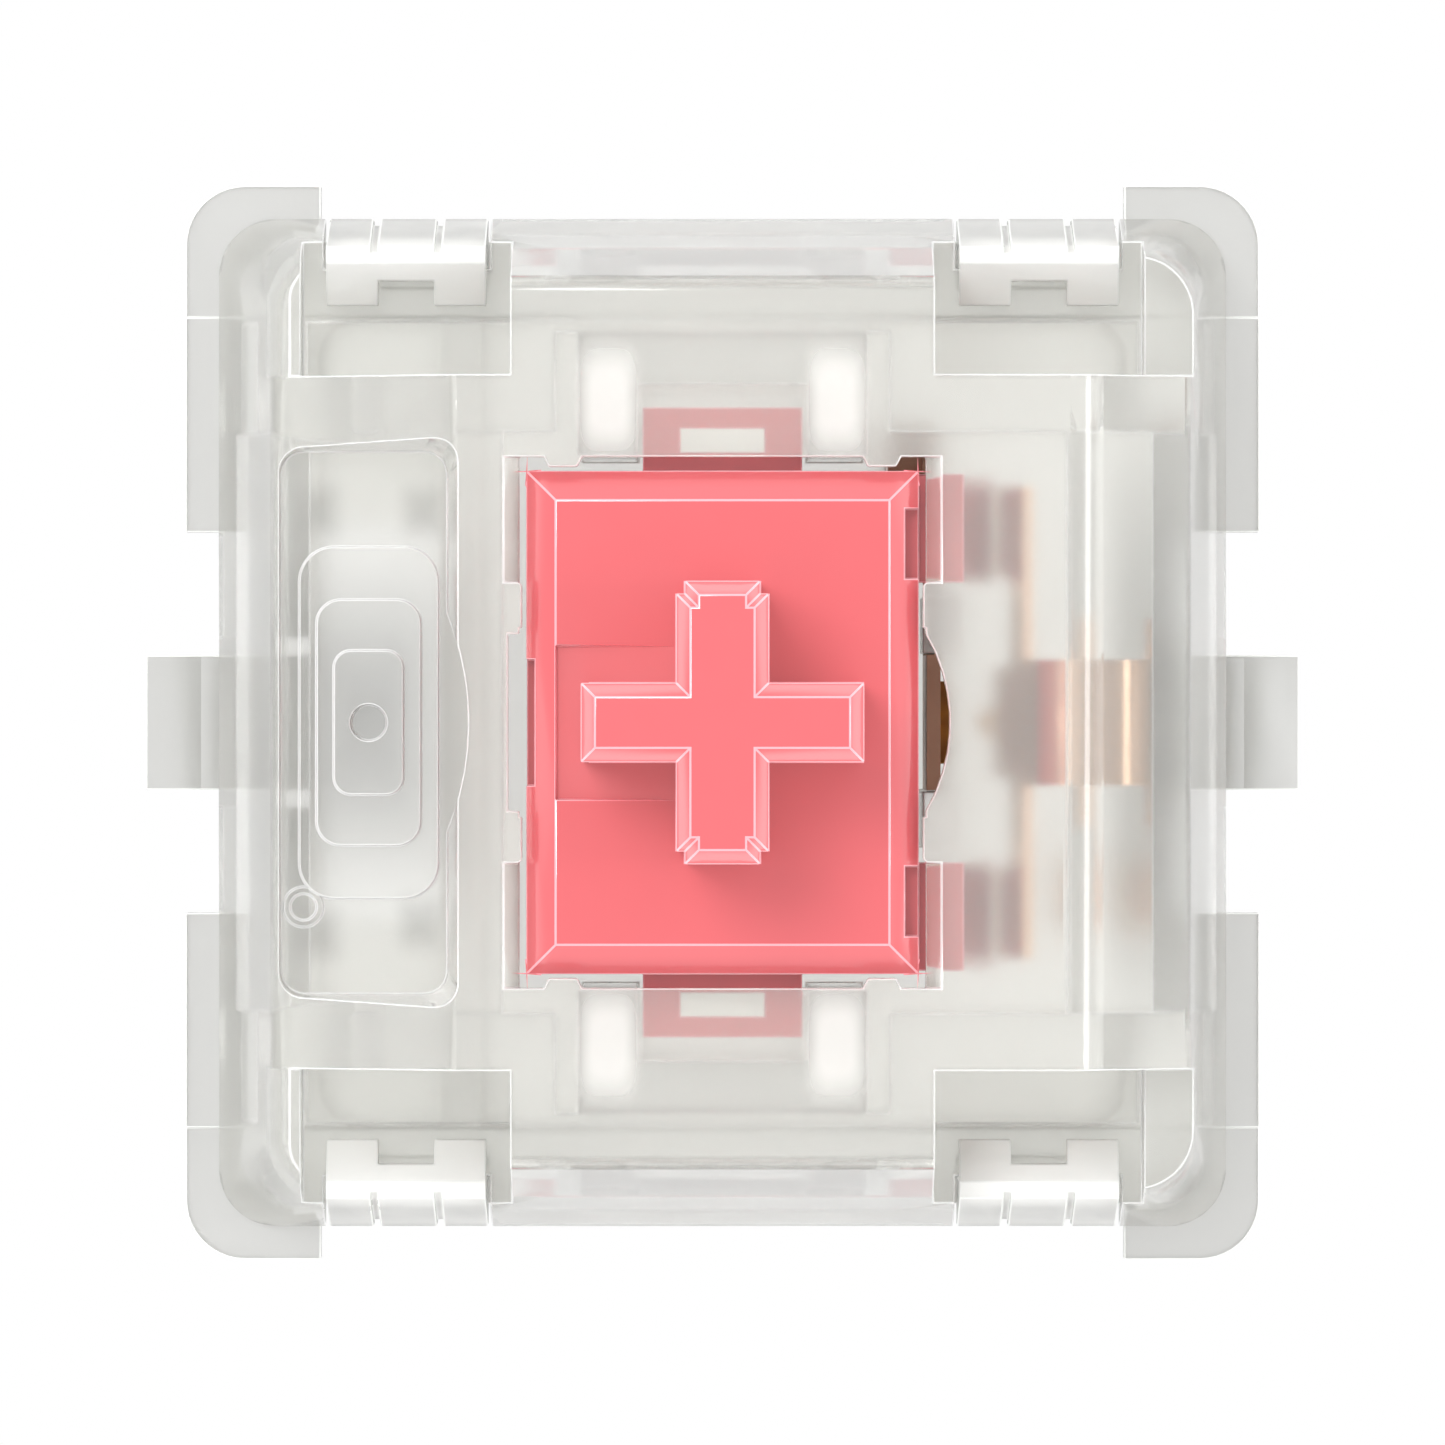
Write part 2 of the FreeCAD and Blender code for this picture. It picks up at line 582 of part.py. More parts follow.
def upper_shell():
    """Walls that lean in, with the top sloping down on the light side and rounded off on the contact side."""
    half = s.cover_half
    left_x = half - s.left_shoulder_in
    right_x = half - s.right_shoulder_in
    right_plateau = half - s.right_plateau_in
    left_top = half - s.left_shoulder_in / (s.left_shoulder_z - s.rim_z) * s.cover_height
    right_top = half - s.right_shoulder_in / (s.right_shoulder_z - s.rim_z) * s.cover_height
    top_y = half - s.cover_lean
    walls = taper("cover_walls", (s.rim_z, square(half)),
                  (s.cover_z, oblong((-left_top, right_top), (-top_y, top_y))))
    walls = rounded("cover_walls_rounded", walls, s.cover_radius, upright)
    over = s.cover_z + OVER
    left_wedge = [(-half, over), (-half, s.left_shoulder_z - s.slope_draft), (-left_x, s.left_shoulder_z),
                  (-s.left_plateau_x, s.cover_z), (-s.left_plateau_x, over)]
    right_wedge = [(half, over), (half, s.right_shoulder_z - s.slope_draft), (right_x, s.right_shoulder_z),
                   (right_plateau, s.cover_z), (right_plateau, over)]
    shape = cut("cover_sloped", walls, [slab("left_wedge", "XZ_Plane", left_wedge, (-half, half)),
                                        slab("right_wedge", "XZ_Plane", right_wedge, (-half, half))])
    creases = [(-s.left_plateau_x, s.cover_z, s.top_round), (-left_x, s.left_shoulder_z, s.left_shoulder_round),
               (right_plateau, s.cover_z, s.right_plateau_round),
               (right_x, s.right_shoulder_z, s.right_shoulder_round)]
    doc.recompute()
    softened = doc.addObject("Part::Fillet", "cover_softened")
    softened.Base = shape
    edges = []
    for index, edge in enumerate(shape.Shape.Edges, 1):
        middle = edge.CenterOfMass
        edges += [(index, radius.number, radius.number) for x, z, radius in creases
                  if near(middle.x, x.number) and near(middle.z, z.number)]
        if near(abs(middle.y), top_y.number) and near(middle.z, s.cover_z.number):
            edges.append((index, s.top_round.number, s.top_round.number))
    softened.Edges = edges
    return softened


def corner_pockets():
    """A step at each corner and, in it, a deeper pocket with the ledge that a latch grips."""
    far = s.cover_half + OVER
    inner = s.cover_half - s.latch_thick - s.latch_gap
    reach = s.latch_width / 2 + s.latch_gap
    spans = (("step", (s.step_x, far), s.step_y, (s.step_z, s.cover_z + OVER)),
             ("pocket", (s.step_x, s.cover_half - s.ledge_end_in), s.step_y, (s.ledge_z, s.step_z + OVER)),
             ("latch_way", (s.latch_x - reach, s.latch_x + reach), inner, (s.rim_z - OVER, s.step_z)))
    return [box(f"{name}_{corner_name(right, back)}", sided(right, *span_x), sided(back, near_y, far), span_z)
            for right, back in CORNERS for name, span_x, near_y, span_z in spans]


def upper_cavity():
    """The hollow under the top, lower beneath the light recess and beneath the corner pockets."""
    recess_roof = s.recess_z - s.ledge_wall
    outer = s.cover_half - s.cover_wall
    low = s.rim_z - OVER
    wall_x = s.ledge_wall - s.recess_right_x
    hollow = [(-outer, low), (-outer, s.rim_z),
              (s.left_shoulder_in + s.hollow_left_in - s.cover_half, recess_roof), (wall_x, recess_roof),
              (wall_x, s.roof_z), (s.cover_half - s.right_plateau_in - s.hollow_right_in, s.roof_z),
              (s.cover_half - s.right_shoulder_in - s.ledge_wall, s.right_shoulder_z - s.hollow_right_drop),
              (outer, s.rim_z), (outer, low)]
    half_y = s.step_y - s.ledge_wall
    strip_x = s.guide_width / 2 + s.strip_margin
    low_x = outer - s.hollow_low_in
    low_y = s.cover_half - s.latch_thick - s.ledge_wall
    return [slab("cover_hollow", "XZ_Plane", hollow, (-half_y, half_y)),
            box("cover_hollow_middle", (-strip_x, strip_x), (-s.strip_half_y, s.strip_half_y), (low, s.roof_z)),
            box("cover_hollow_low", (-low_x, low_x), (-low_y, low_y), (low, s.ledge_z - s.ledge_wall))]


def skirts():
    """Short aprons that fill the gaps between the corner pads of the flange."""
    inner = s.cutout_half + s.skirt_gap
    drop = (s.rim_z - s.skirt_drop, s.rim_z)
    aprons = [box(f"skirt_y_{side > 0}", (-s.skirt_half, s.skirt_half), sided(side, inner, s.cover_half), drop)
              for side in SIDES]
    span_y = (s.clip_width / 2 + s.clip_slot, s.flange_end_y - s.skirt_gap)
    return aprons + [box(f"skirt_x_{corner_name(right, back)}", sided(right, inner, s.cover_half),
                         sided(back, *span_y), drop) for right, back in CORNERS]


def light_recess():
    """A sunk tray whose inner wall swells out beside the stem."""
    left, right, half_y = s.recess_left_x, s.recess_right_x, s.recess_half_y
    lean = s.recess_lean
    over = s.cover_z + OVER
    tray = taper("light_tray", (s.recess_z, oblong((-left, -right), (-half_y, half_y))),
                 (over, oblong((-left - lean, lean - right), (-half_y - lean, half_y + lean))))
    tray = rounded("light_tray_rounded", tray, s.recess_radius, upright)
    swell_x = s.recess_bulge - right + lean / 2
    swell = common("light_tray_swell", [
        arc_side("light_tray_arc", swell_x, s.recess_bulge, (s.recess_z, over)),
        box("light_tray_arc_limit", (-s.lens_x, swell_x), (-half_y, half_y), (s.recess_z, over))])
    return fuse("light_recess", [tray, swell])


def arc_side(name, reach_x, rise, span_z):
    """A large rod that bulges out to reach_x over the middle of a straight wall."""
    radius = (s.bulge_half_y * s.bulge_half_y + rise * rise) / (rise * 2)
    return rod(name, (reach_x - radius, 0), radius * 2, span_z)


def mould_mark():
    """A small raised ring on the floor of the light recess."""
    span = (s.recess_z - s.mark_sink, s.recess_z + s.mark_rise)
    centre = (s.mark_in - s.recess_left_x, -s.mark_y)
    disc = rod("mark_disc", centre, s.mark_outer, span)
    return cut("mould_mark", disc, [rod("mark_hole", centre, s.mark_inner, span)])


def lens():
    """Three flat steps with round corners, over the light window."""
    steps = (("lens_outer", s.lens_width, s.lens_length, s.lens_radius),
             ("lens_middle", s.lens_middle_width, s.lens_middle_length, s.lens_middle_radius),
             ("lens_inner", s.lens_inner_width, s.lens_inner_length, s.lens_inner_radius))
    pads = []
    for level, (name, width, length, radius) in enumerate(steps, 1):
        pad = box(name, (-s.lens_x - width / 2, width / 2 - s.lens_x), (-length / 2, length / 2),
                  (s.recess_z - s.lens_sink, s.recess_z + s.lens_step * level))
        pads.append(rounded(f"{name}_rounded", pad, radius, upright))
    return pads


def stem_opening():
    tall = (s.roof_z - OVER, s.cover_z + OVER)
    bulge_y = (-s.bulge_half_y, s.bulge_half_y)
    return [box("opening", (-s.opening_x, s.opening_x), (-s.opening_y, s.opening_y), tall),
            box("opening_left_notch", (-s.opening_x - s.left_notch_out, 0), bulge_y, tall),
            arc_side("opening_right_bulge", s.bulge_x, s.bulge_out, tall),
            rod("lens_eye", (-s.lens_x, 0), s.lens_eye, (s.recess_z, s.cover_z)), *opening_bevels()]


def opening_bevels():
    """Sloping strips along the two long edges of the opening, towards its corners."""
    inner = s.opening_x - s.lobe_gap
    outer = s.opening_x + s.opening_bevel
    low = s.cover_z - s.opening_bevel_drop
    over = s.cover_z + OVER
    points = [(inner, over), (outer, over), (outer, s.cover_z), (s.opening_x, low), (inner, low)]
    return [slab(f"opening_bevel_{corner_name(right, back)}", "XZ_Plane", turned(points, right),
                 sided(back, s.lobe_x_to, s.opening_y)) for right, back in CORNERS]


def opening_lobes():
    """Small lobes round the opening that keep the stem from rocking."""
    lobe_x = s.stem_half_x + s.lobe_gap
    lobe_y = s.stem_half_y + s.lobe_gap
    root_x = s.opening_x + s.lobe_root_x
    root_y = s.opening_y + s.lobe_root_y
    on_y = [(s.lobe_y_from, root_y), (s.lobe_y_from + s.lobe_ramp, lobe_y), (s.lobe_y_to - s.lobe_ramp, lobe_y),
            (s.lobe_y_to, root_y)]
    on_x = [(root_x, s.lobe_x_from), (lobe_x, s.lobe_x_from + s.lobe_lead), (lobe_x, s.lobe_x_to - s.lobe_lead),
            (s.opening_x, s.lobe_x_to), (root_x, s.lobe_x_to)]
    lobes = []
    for right, back in CORNERS:
        for name, points in (("lobe_y", on_y), ("lobe_x", on_x)):
            lobes.append(slab(f"{name}_{corner_name(right, back)}", "XY_Plane", turned(points, right, back),
                              (s.roof_z, s.cover_z)))
    return lobes


def make_upper_housing():
    hollow = cut("cover_hollowed", upper_shell(), [*corner_pockets(), *upper_cavity(), light_recess()])
    guided = fuse("cover_guided", [hollow, *skirts(), *lens(), mould_mark(),
                                   *rail_guides("upper_guide", s.rim_z, s.roof_z, s.strip_half_y)])
    opened = cut("cover_opened", guided, [*stem_opening(), *rail_channels("upper_channel", s.rim_z, s.roof_z)])
    return fuse("upper_housing", [opened, *opening_lobes()])


# Stem

def stem_plate(body):
    half_x, half_y = s.stem_half_x, s.stem_half_y
    shoulder = s.stem_z - s.stem_chamfer_drop
    top_x, top_y = half_x - s.stem_chamfer, half_y - s.stem_chamfer
    block(body, "stem_skirt", (-half_x, half_x), (-half_y, half_y), (s.rail_z + s.skirt_rise, shoulder))
    soften(body, "stem_corners", s.stem_radius, upright)
    loft(body, "stem_bevel", (shoulder, oblong((-half_x, half_x), (-half_y, half_y))),
         (s.stem_z, oblong((-top_x, top_x), (-top_y, top_y))))


def stem_details(body):
    """A shallow facet that slopes up to the cross, a dent on the light side and two notches opposite."""
    half_x, top = s.stem_half_x, s.stem_z
    over = top + OVER
    from_x = s.stem_chamfer - half_x
    facet = [(from_x, top - s.facet_drop), (-s.facet_to_x, top), (-s.facet_to_x, over), (from_x, over)]
    prism(body, "facet", "XZ_Plane", facet, (-s.facet_half_y, s.facet_half_y), cut=True)
    block(body, "dent", (-half_x - OVER, s.dent_depth - half_x), (-s.dent_half_y, s.dent_half_y),
          (top - s.dent_drop, over), cut=True)
    for side in SIDES:
        block(body, f"edge_notch_{side > 0}", (half_x - s.notch_depth, half_x + OVER),
              sided(side, s.notch_near_y, s.notch_far_y), (top - s.notch_drop, over), cut=True)


def cross_points(inset):
    """The corners of the cross, drawn in by an inset, with a small notch at each end of its long arm."""
    arm = s.cross_length / 2 - inset
    along_x = s.cross_x_thick / 2 - inset
    along_y = s.cross_y_thick / 2 - inset
    notch_y = arm - s.cross_notch_length
    quarter = [(arm, along_x), (along_y, along_x), (along_y, notch_y), (along_y - s.cross_notch, notch_y),
               (along_y - s.cross_notch, arm)]
    points = quarter + turned(reversed(quarter), right=-1)
    return points + turned(reversed(points), back=-1)


def stem_cross(body):
    """The cross that a keycap is pressed onto, with a bevel round its top."""
    high = s.stem_z + s.cross_height
    shoulder = high - s.cross_chamfer
    loft(body, "cross_shaft", (s.stem_z - s.cross_sink, cross_points(0)), (shoulder, cross_points(0)))
    loft(body, "cross_bevel", (shoulder, cross_points(0)), (high, cross_points(s.cross_chamfer)))


def damper_span(side):
    near_y = s.stem_half_y + s.damper_inset
    return sided(side, near_y, near_y + s.damper_thick)


def stem_rails(body):
    for side, end in zip(SIDES, ENDS):
        block(body, f"rail_{end}", (-s.rail_width / 2, s.rail_width / 2),
              sided(side, s.stem_half_y - s.stem_radius, s.rail_y), (s.rail_z, s.rail_top_z))
        block(body, f"damper_slot_{end}", (-s.damper_width / 2, s.damper_width / 2), damper_span(side),
              (s.rail_z, s.rail_top_z), cut=True)


def stem_legs(body):
    """Two legs on the contact side whose sloping faces let the leaf move in as the stem goes down."""
    inner = s.stem_half_x - s.stem_radius
    back = s.stem_half_x + s.leg_back
    nose_z = s.leg_z + s.leg_nose
    points = [(inner, s.leg_z), (s.leg_nose_x - s.leg_lead, s.leg_z), (s.leg_nose_x, s.leg_z + s.leg_lead),
              (s.leg_nose_x, nose_z), (back, nose_z + s.leg_slope), (back, s.rail_top_z), (inner, s.rail_top_z)]
    for side, end in zip(SIDES, ENDS):
        prism(body, f"leg_{end}", "XZ_Plane", points, sided(side, s.leg_outer_y - s.leg_width, s.leg_outer_y))


def stem_inside(body):
    """The pocket for the spring and, in it, the pole that runs in the bore of the centre post."""
    pole_z = s.bore_end - s.post_length + s.travel + s.pole_gap
    drum(body, "spring_pocket", (0, 0), s.spring_pocket, (s.rail_z + s.skirt_rise, s.ceiling_z), cut=True)
    drum(body, "pole", (0, 0), s.pole_diameter, (pole_z, s.ceiling_z))
    soften(body, "pole_tip", s.pole_round, lambda edge: near(edge.CenterOfMass.z, pole_z.number))


def make_stem():
    body = new_body("stem")
    stem_plate(body)
    stem_details(body)
    stem_cross(body)
    stem_rails(body)
    stem_legs(body)
    stem_inside(body)
    return body


def make_dampers():
    bodies = []
    for side, label in ((1, "rear_damper"), (-1, "front_damper")):
        body = new_body(label)
        block(body, f"{label}_strip", (-s.damper_width / 2, s.damper_width / 2), damper_span(side),
              (s.rail_z - s.damper_stand, s.rail_top_z + s.damper_stand))
        bodies.append(body)
    return bodies


# Spring

def make_return_spring():
    """A coil between the floor and the ceiling of the stem's pocket. Its wire is five-sided, to stay light."""
    low = s.floor_z + s.wire / 2
    height = s.ceiling_z - s.floor_z - s.wire
    radius = (s.spring_diameter - s.wire) / 2
    helix = doc.addObject("Part::Helix", "coil_line")
    bind(helix, "Height", height)
    bind(helix, "Pitch", height / s.spring_turns)
    bind(helix, "Radius", radius)
    bind(helix, "Placement.Base.z", low)
    wire = doc.addObject("Part::RegularPolygon", "wire_section")
    wire.Polygon = 5
    wire.Placement = FreeCAD.Placement(FreeCAD.Vector(), FACING["XZ_Plane"])
    bind(wire, "Circumradius", s.wire / 2)
    bind(wire, "Placement.Base.x", radius)
    bind(wire, "Placement.Base.z", low)
    doc.recompute()
    coil = doc.addObject("Part::Sweep", "return_spring")
    coil.Sections = [wire]
    coil.Spine = (helix, [f"Edge{index + 1}" for index in range(len(helix.Shape.Edges))])
    coil.Solid = True
    coil.Frenet = True
    return coil


# Contacts

def solder_pin(body, name, centre_x, centre_y):
    """A flat pin through the floor, with a narrowed tip."""
    low_y, high_y = centre_y - s.pin_width / 2, centre_y + s.pin_width / 2
    top = s.floor_z + s.sheet
    shoulder = s.pin_tip - s.pin_length
    points = [(low_y, top), (low_y, shoulder), (low_y + s.pin_tip_inset, -s.pin_length),
              (high_y - s.pin_tip_inset, -s.pin_length), (high_y, shoulder), (high_y, top)]
    prism(body, name, "YZ_Plane", points, (centre_x - s.sheet / 2, centre_x + s.sheet / 2))


def make_fixed_contact():
    body = new_body("fixed_contact")
    sheet_x = (s.fixed_x, s.fixed_face_x)
    near_y, far_y = s.fixed_pin_y - s.pin_width / 2, s.fixed_pin_y + s.pin_width / 2
    block(body, "upright_sheet", sheet_x, (-s.fixed_half_y, s.fixed_half_y), (s.floor_z, s.fixed_z))
    block(body, "side_bar", sheet_x, (0, far_y), (s.floor_z, s.bar_z))
    block(body, "foot", (s.fixed_pin_x - s.sheet / 2, s.fixed_face_x), (near_y, far_y),
          (s.floor_z, s.floor_z + s.sheet))
    solder_pin(body, "fixed_pin", s.fixed_pin_x, s.fixed_pin_y)
    return body


def make_fixed_point():
    body = new_body("fixed_contact_point")
    half = s.point_height / 2
    points = [(s.fixed_face_x, s.point_z - half), (s.fixed_face_x + s.point_thick, s.point_z),
              (s.fixed_face_x, s.point_z + half)]
    prism(body, "fixed_ridge", "XZ_Plane", points, (-s.point_half_y, s.point_half_y))
    return body


def make_leaf_terminal():
    """The outer half of the moving contact: a pin, an upright sheet and the round bend over the top."""
    body = new_body("leaf_terminal")
    outer = s.cavity_half
    sheet_x = (outer - s.leaf_thick, outer)
    bend_x = (s.hinge_x + outer - s.leaf_thick / 2) / 2
    near_y, far_y = -s.moving_pin_y - s.pin_width / 2, s.pin_width / 2 - s.moving_pin_y
    sheet_z = s.bend_z - s.terminal_drop
    block(body, "terminal_sheet", sheet_x, (-s.terminal_half_y, s.terminal_half_y), (s.floor_z, sheet_z))
    block(body, "terminal_neck", sheet_x, (-s.bend_half_y, s.bend_half_y), (sheet_z - s.neck_overlap, s.bend_z))
    bend = sketch(body, "terminal_bend_outline", "XY_Plane", s.bend_z,
                  oblong((s.hinge_x - s.leaf_thick / 2 - bend_x, s.hinge_x + s.leaf_thick / 2 - bend_x),
                         (-s.bend_half_y, s.bend_half_y)))
    bind(bend, "AttachmentOffset.Base.x", bend_x)
    arch = body.newObject("PartDesign::Revolution", "terminal_bend")
    arch.Profile = bend
    arch.ReferenceAxis = (bend, ["V_Axis"])
    arch.Angle = 180
    block(body, "terminal_bar", sheet_x, (near_y, 0), (s.floor_z, s.bar_z))
    block(body, "terminal_foot", (s.moving_pin_x - s.sheet / 2, outer), (near_y, far_y),
          (s.floor_z, s.floor_z + s.sheet))
    solder_pin(body, "moving_pin", s.moving_pin_x, -s.moving_pin_y)
    return body


def make_contact_leaf():
    """The inner half of the moving contact: a bridge, two wings on the legs of the stem and a tongue."""
    body = new_body("contact_leaf")
    face, back = s.leaf_x, s.leaf_x + s.leaf_thick
    top_near, top_far = s.hinge_x - s.leaf_thick / 2, s.hinge_x + s.leaf_thick / 2
    wing_outer = s.leg_outer_y - s.wing_margin
    wing_inner = s.leg_outer_y - s.leg_width + s.wing_inset
    points = [(top_near, s.hinge_z), (face, s.wing_z), (face, s.leaf_end_z), (back, s.leaf_end_z),
              (back, s.wing_z), (top_far, s.hinge_z)]
    prism(body, "leaf_sheet", "XZ_Plane", points, (-wing_outer, wing_outer))
    roll(body, "leaf_rolled_edge", (s.hinge_x, s.hinge_z), s.leaf_thick, (-s.bend_half_y, s.bend_half_y))
    across = (face - OVER, s.hinge_x + OVER)
    far = wing_outer + OVER
    low = s.leaf_end_z - OVER
    for side, end in zip(SIDES, ENDS):
        block(body, f"leaf_shoulder_{end}", across, sided(side, s.bend_half_y, far),
              (s.shoulder_z, s.bend_z), cut=True)
        block(body, f"leaf_gap_{end}", across, sided(side, s.tongue_half_y, wing_inner),
              (low, s.bridge_z), cut=True)
        block(body, f"leaf_below_wing_{end}", across, sided(side, s.tongue_half_y, far),
              (low, s.wing_z), cut=True)
    return body


def make_moving_point():
    body = new_body("moving_contact_point")
    tip = s.fixed_face_x + s.point_thick + s.contact_gap
    half = s.point_height / 2
    points = [(s.leaf_x, -half), (s.leaf_x, half), (tip, s.point_flat), (tip, -s.point_flat)]
    prism(body, "moving_ridge", "XY_Plane", points, (s.point_z - half, s.point_z + half))
    return body


def check(document):
    broken = [item.Name for item in document.Objects if {"Invalid", "Error"} & set(item.State)]
    if broken:
        raise RuntimeError(f"features that failed: {broken}")


def main():
    pieces = [make_lower_housing(), make_upper_housing(), make_stem(), *make_dampers(), make_return_spring(),
              make_fixed_contact(), make_fixed_point(), make_leaf_terminal(), make_contact_leaf(),
              make_moving_point()]
    doc.recompute()
    check(doc)
    os.makedirs("parts", exist_ok=True)
    for piece in pieces:
        shape = piece.Shape
        if shape.isNull() or not shape.isValid() or len(shape.Solids) != 1:
            raise RuntimeError(f"bad shape: {piece.Label}")
        shape.exportStep(f"parts/{piece.Label}.step")
        box = shape.BoundBox
        print(f"{piece.Label}: volume {shape.Volume:.2f}, x {box.XMin:.2f} {box.XMax:.2f} "
              f"y {box.YMin:.2f} {box.YMax:.2f} z {box.ZMin:.2f} {box.ZMax:.2f}")


main()
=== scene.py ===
import math

import bpy
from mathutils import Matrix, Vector


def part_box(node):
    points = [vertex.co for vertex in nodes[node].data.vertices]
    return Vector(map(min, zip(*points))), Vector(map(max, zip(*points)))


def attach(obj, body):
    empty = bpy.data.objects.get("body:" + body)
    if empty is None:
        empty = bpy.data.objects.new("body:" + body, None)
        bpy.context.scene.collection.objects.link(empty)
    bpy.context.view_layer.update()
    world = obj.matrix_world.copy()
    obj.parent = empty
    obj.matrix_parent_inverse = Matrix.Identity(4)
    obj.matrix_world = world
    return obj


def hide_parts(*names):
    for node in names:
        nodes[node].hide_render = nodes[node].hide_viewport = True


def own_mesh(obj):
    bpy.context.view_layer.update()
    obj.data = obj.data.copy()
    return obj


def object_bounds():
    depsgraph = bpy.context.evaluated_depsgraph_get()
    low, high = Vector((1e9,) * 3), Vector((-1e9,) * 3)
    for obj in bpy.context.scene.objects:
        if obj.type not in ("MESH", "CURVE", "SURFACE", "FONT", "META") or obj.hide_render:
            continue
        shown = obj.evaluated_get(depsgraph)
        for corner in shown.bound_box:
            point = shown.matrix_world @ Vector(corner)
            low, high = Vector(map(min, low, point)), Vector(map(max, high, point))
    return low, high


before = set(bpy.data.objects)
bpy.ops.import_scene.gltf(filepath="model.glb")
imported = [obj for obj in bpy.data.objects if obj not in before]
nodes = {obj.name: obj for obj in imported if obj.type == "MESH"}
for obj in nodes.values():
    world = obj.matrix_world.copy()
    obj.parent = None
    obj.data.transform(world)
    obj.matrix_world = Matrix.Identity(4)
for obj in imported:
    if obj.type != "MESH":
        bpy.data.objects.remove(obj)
cad_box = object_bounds()

MM = 0.001

# Photograph and camera: straight down, with the plan scale read at the flange
PHOTO_PX = 1445
PX_PER_MM = 68.9
FLANGE_Z = 6.0 * MM
CAMERA_RISE = 315 * MM
SENSOR = 36.0

# Return spring, as in the CAD model, with its last turn at each end wound flat
SPRING_RADIUS = 1.96 * MM
WIRE_RADIUS = 0.135 * MM
SPRING_TURNS = 10.5
SEAT_Z = 1.0 * MM
WIRE_SIDES = 12
STEPS_PER_TURN = 48

# Edges and shading
EDGE_ROUND = 0.022 * MM
STEM_ROUND_SHARE = 0.8
EDGE_STEPS = 2
EDGE_ANGLE = math.radians(30)
CREASE_ANGLE = math.radians(40)
WELD_REACH = 0.001 * MM
SEAT_GAP = 0.004 * MM
LEVEL = 0.996
LARGE_FACE = 1.2 * MM * MM

# Materials
PLASTIC_IOR = 1.46
COAT_IOR = 1.6
COAT_ROUGH = 0.04
BUMP_DEPTH = 0.02 * MM
WIDE = 1000.0  # a reach so long that the spot has no end on that axis

# Floor and world
FLOOR_REACH = 400 * MM
FLOOR_GREY = 0.9
HORIZON_LOW, HORIZON_HIGH = 0.1, 0.4
HORIZON_STRENGTH, SKY_STRENGTH = 2.8, 0.95


def linear(red, green, blue):
    """A display colour, 0 to 255, in linear light."""
    def channel(value):
        value = value / 255
        return value / 12.92 if value <= 0.04045 else ((value + 0.055) / 1.055) ** 2.4
    return (channel(red), channel(green), channel(blue), 1.0)


# Materials

def new_material(name):
    material = bpy.data.materials.new(name)
    material.use_nodes = True
    tree = material.node_tree
    shader = next(node for node in tree.nodes if node.type == "BSDF_PRINCIPLED")
    return material, tree, shader


def add_noise(tree, scale, detail):
    place = tree.nodes.new("ShaderNodeTexCoord")
    noise = tree.nodes.new("ShaderNodeTexNoise")
    noise.inputs["Scale"].default_value = scale
    noise.inputs["Detail"].default_value = detail
    tree.links.new(place.outputs["Object"], noise.inputs["Vector"])
    return noise


def add_bump(tree, shader, noise, strength):
    bump = tree.nodes.new("ShaderNodeBump")
    bump.inputs["Strength"].default_value = strength
    bump.inputs["Distance"].default_value = BUMP_DEPTH
    tree.links.new(noise.outputs[0], bump.inputs["Height"])
    tree.links.new(bump.outputs["Normal"], shader.inputs["Normal"])


def vary_roughness(tree, shader, noise, low, high):
    spread = tree.nodes.new("ShaderNodeMapRange")
    spread.inputs["To Min"].default_value = low
    spread.inputs["To Max"].default_value = high
    tree.links.new(noise.outputs[0], spread.inputs["Value"])
    tree.links.new(spread.outputs["Result"], shader.inputs["Roughness"])


def plastic(name, colour, clear, rough, scale=900.0, detail=0.0, bump=0.0, coat=0.0):
    """A moulded plastic. clear is the share of the light that goes straight in."""
    material, tree, shader = new_material(name)
    shader.inputs["Base Color"].default_value = colour
    shader.inputs["Transmission Weight"].default_value = clear
    shader.inputs["IOR"].default_value = PLASTIC_IOR
    shader.inputs["Coat Weight"].default_value = coat
    shader.inputs["Coat Roughness"].default_value = COAT_ROUGH
    shader.inputs["Coat IOR"].default_value = COAT_IOR
    noise = add_noise(tree, scale, detail)
    vary_roughness(tree, shader, noise, rough * 0.85, rough * 1.15)
    if bump:
        add_bump(tree, shader, noise, bump)
    return material


